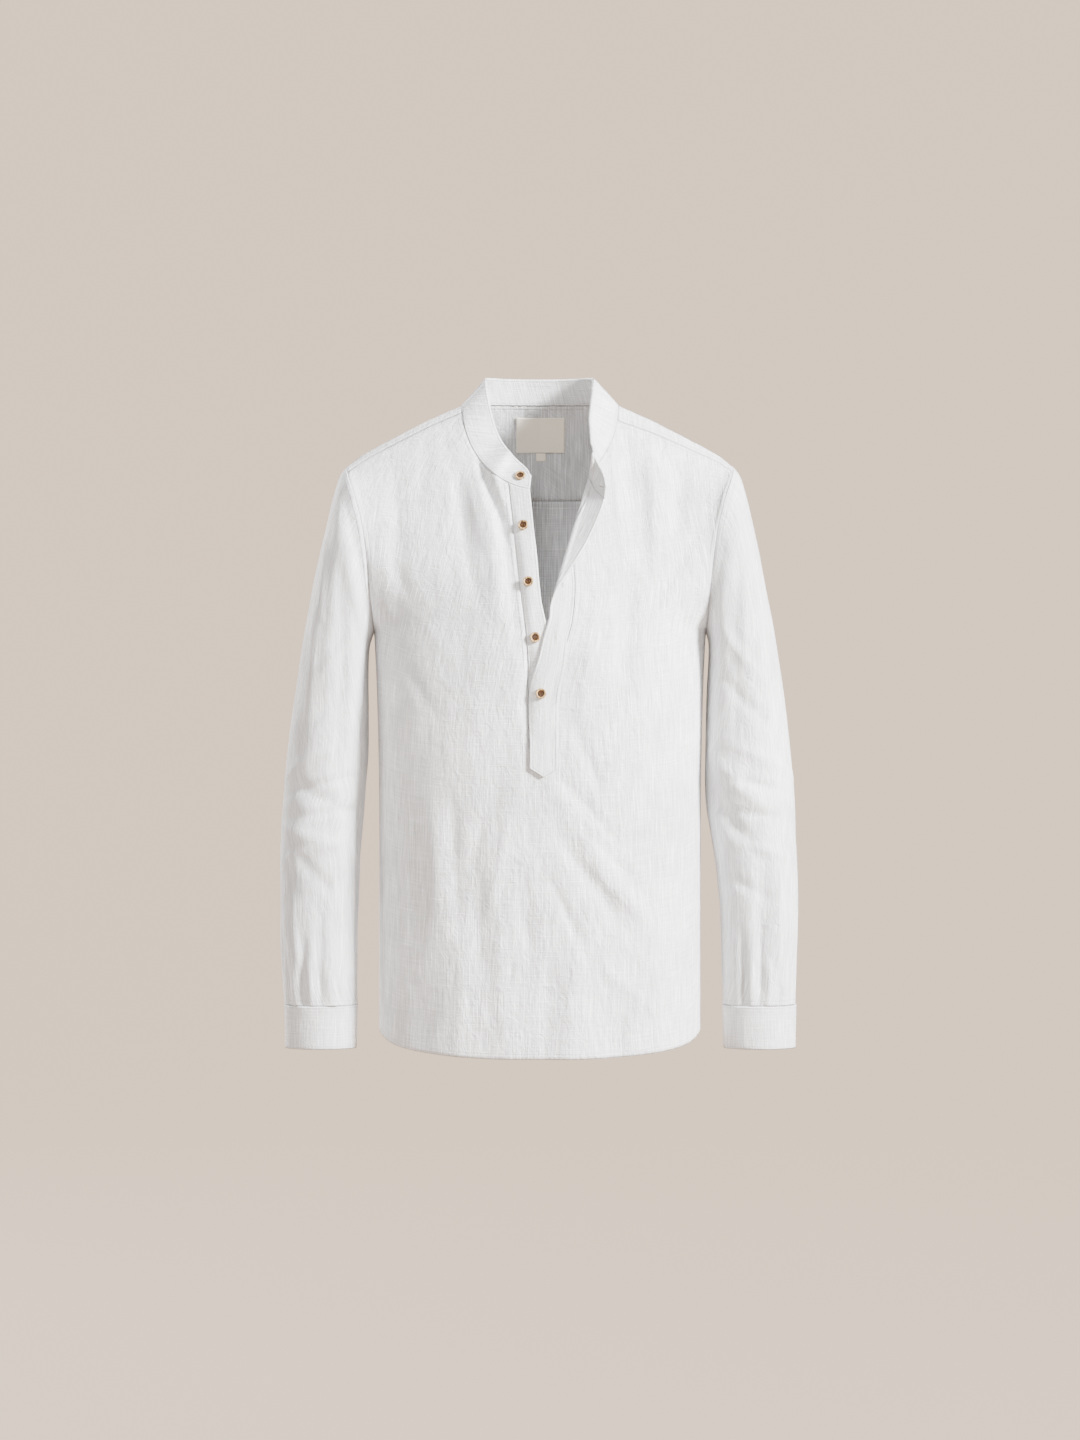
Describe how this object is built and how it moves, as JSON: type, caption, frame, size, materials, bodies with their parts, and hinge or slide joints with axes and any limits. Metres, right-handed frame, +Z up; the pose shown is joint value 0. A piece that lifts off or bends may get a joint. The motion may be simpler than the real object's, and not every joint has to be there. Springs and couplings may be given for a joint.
{
  "type": "mandarin collar shirt",
  "caption": "Long-sleeved pull-on linen shirt with a band collar and a half-length button placket, filled out and hollow, its neck opened out",
  "frame": {"origin": "the middle of the neck on the level where the shoulder seams meet the collar, where the wearer's shoulders hold the shirt", "axes": "+Z up, the front faces -Y, +X is the viewer's right and the wearer's left"},
  "size_m": [0.5535, 0.2345, 0.7273],
  "materials": {
    "linen": "white plain-weave linen with slubs, matt",
    "label": "cream woven tape, bare",
    "button": "tan horn look with a dark brown centre, satin"
  },
  "bodies": {
    "root": {"front": "linen", "back": "linen", "yoke": "linen", "collar": "linen", "placket_under": "linen", "placket_over": "linen", "sleeve_left": "linen", "sleeve_right": "linen", "cuff_left": "linen", "cuff_right": "linen", "sleeve_placket_left": "linen", "sleeve_placket_right": "linen", "neck_label": "label", "size_tab": "label", "button_1": "button", "button_2": "button", "button_3": "button", "button_4": "button", "button_5": "button", "cuff_button_left": "button", "cuff_button_right": "button"}
  },
  "joints": []
}
